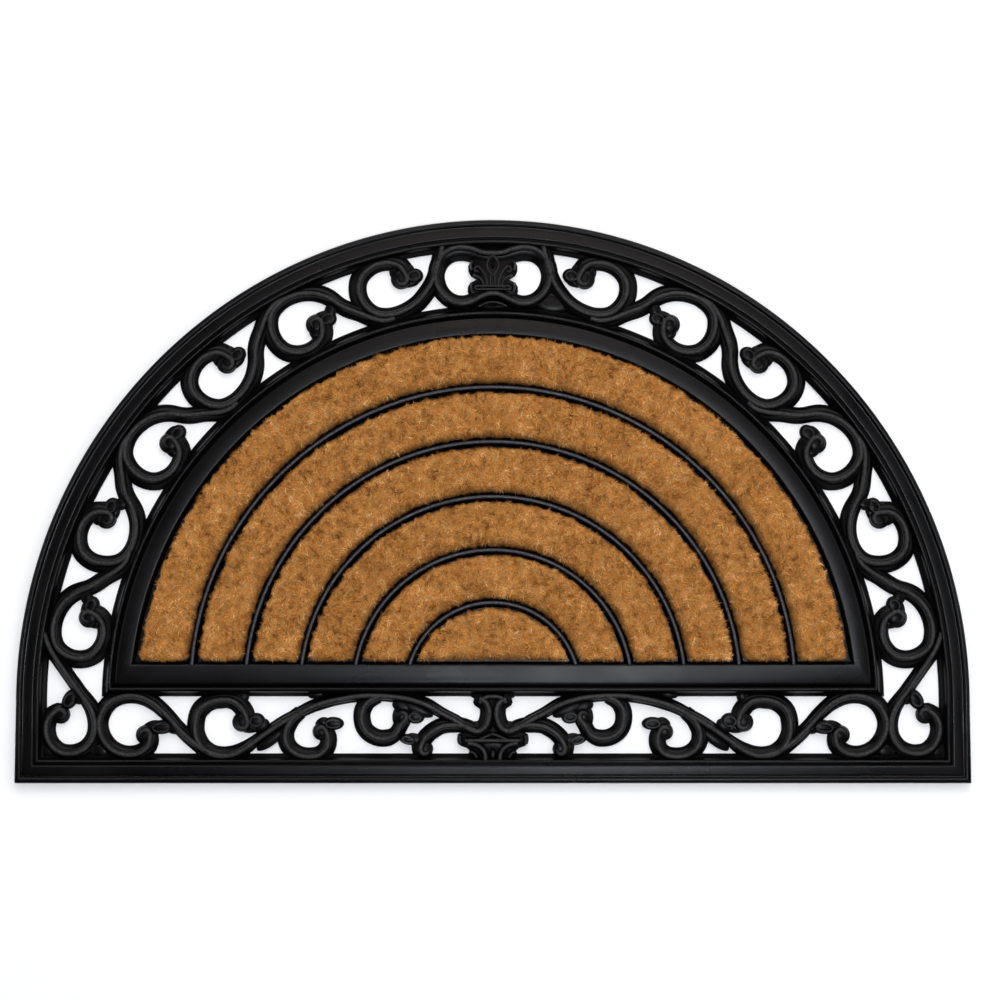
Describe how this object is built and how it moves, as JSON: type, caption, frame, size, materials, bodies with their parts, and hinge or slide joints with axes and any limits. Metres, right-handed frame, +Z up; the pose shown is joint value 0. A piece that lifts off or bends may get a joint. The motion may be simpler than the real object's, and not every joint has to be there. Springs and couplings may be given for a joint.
{
  "type": "half-round coir doormat",
  "caption": "Half-round doormat with an openwork rubber scroll border around a ribbed tray of coir panels, for wiping shoes at a door.",
  "frame": {"origin": "middle of the mat's bounding box, on the underside", "axes": "+X along the straight edge, +Y from the straight edge to the top of the arch, +Z up out of the pile"},
  "size_m": [0.75, 0.4414, 0.014],
  "materials": {
    "rubber": "satin black moulded rubber",
    "coir": "matte golden brown coir pile"
  },
  "bodies": {
    "root": {"rubber_moulding": "rubber", "coir_centre": "coir", "coir_band_1": "coir", "coir_band_2": "coir", "coir_band_3": "coir", "coir_band_4": "coir", "coir_band_5": "coir"}
  },
  "joints": []
}
